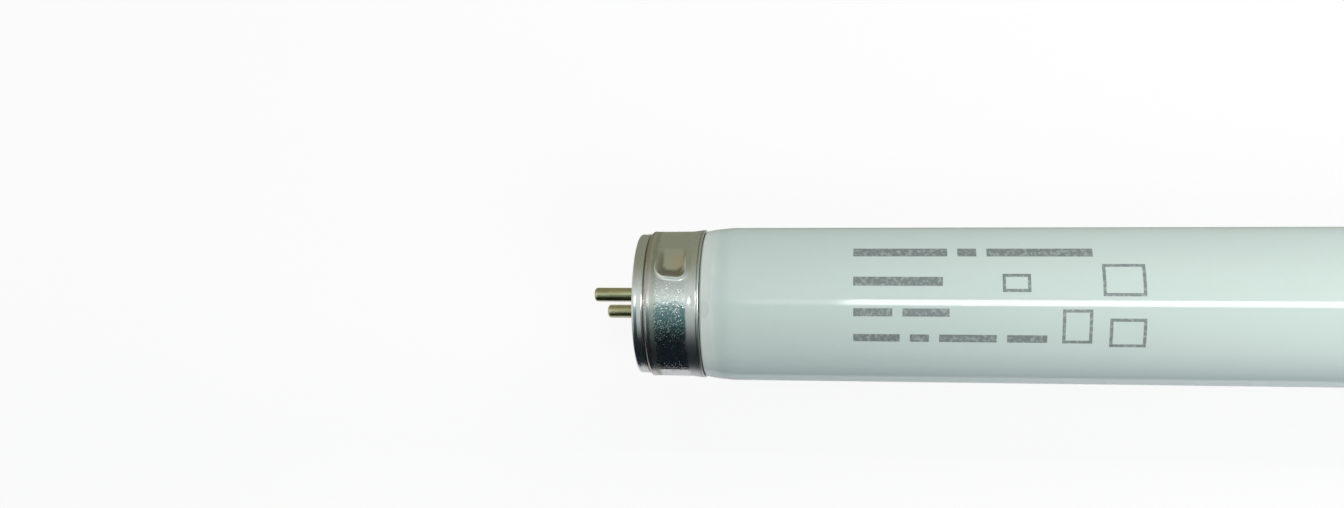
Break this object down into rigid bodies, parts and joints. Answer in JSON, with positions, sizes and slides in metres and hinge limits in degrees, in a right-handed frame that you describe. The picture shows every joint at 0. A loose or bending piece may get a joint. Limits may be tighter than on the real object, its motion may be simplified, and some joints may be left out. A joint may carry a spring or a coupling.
{
  "type": "fluorescent tube",
  "caption": "Straight white fluorescent tube: a long sealed glass tube with a pocketed aluminium cap and a pair of brass contact pins at each end.",
  "frame": {"origin": "middle of the lamp, on the tube's axis", "axes": "+X along the tube, +Z along the line through each pair of pins"},
  "size_m": [1.2136, 0.026, 0.026],
  "materials": {
    "white_glass": "glossy clear glass over a white inner powder coat",
    "cap_metal": "bright pressed aluminium",
    "disc_resin": "matt phenolic board",
    "pin_brass": "dull drawn brass",
    "wire_metal": "plain wire"
  },
  "bodies": {
    "root": {"glass_tube": "white_glass", "left_cap_shell": "cap_metal", "left_insulating_disc": "disc_resin", "left_upper_pin": "pin_brass", "left_lower_pin": "pin_brass", "left_upper_lead_wire": "wire_metal", "left_lower_lead_wire": "wire_metal", "right_cap_shell": "cap_metal", "right_insulating_disc": "disc_resin", "right_upper_pin": "pin_brass", "right_lower_pin": "pin_brass", "right_upper_lead_wire": "wire_metal", "right_lower_lead_wire": "wire_metal"}
  },
  "joints": []
}
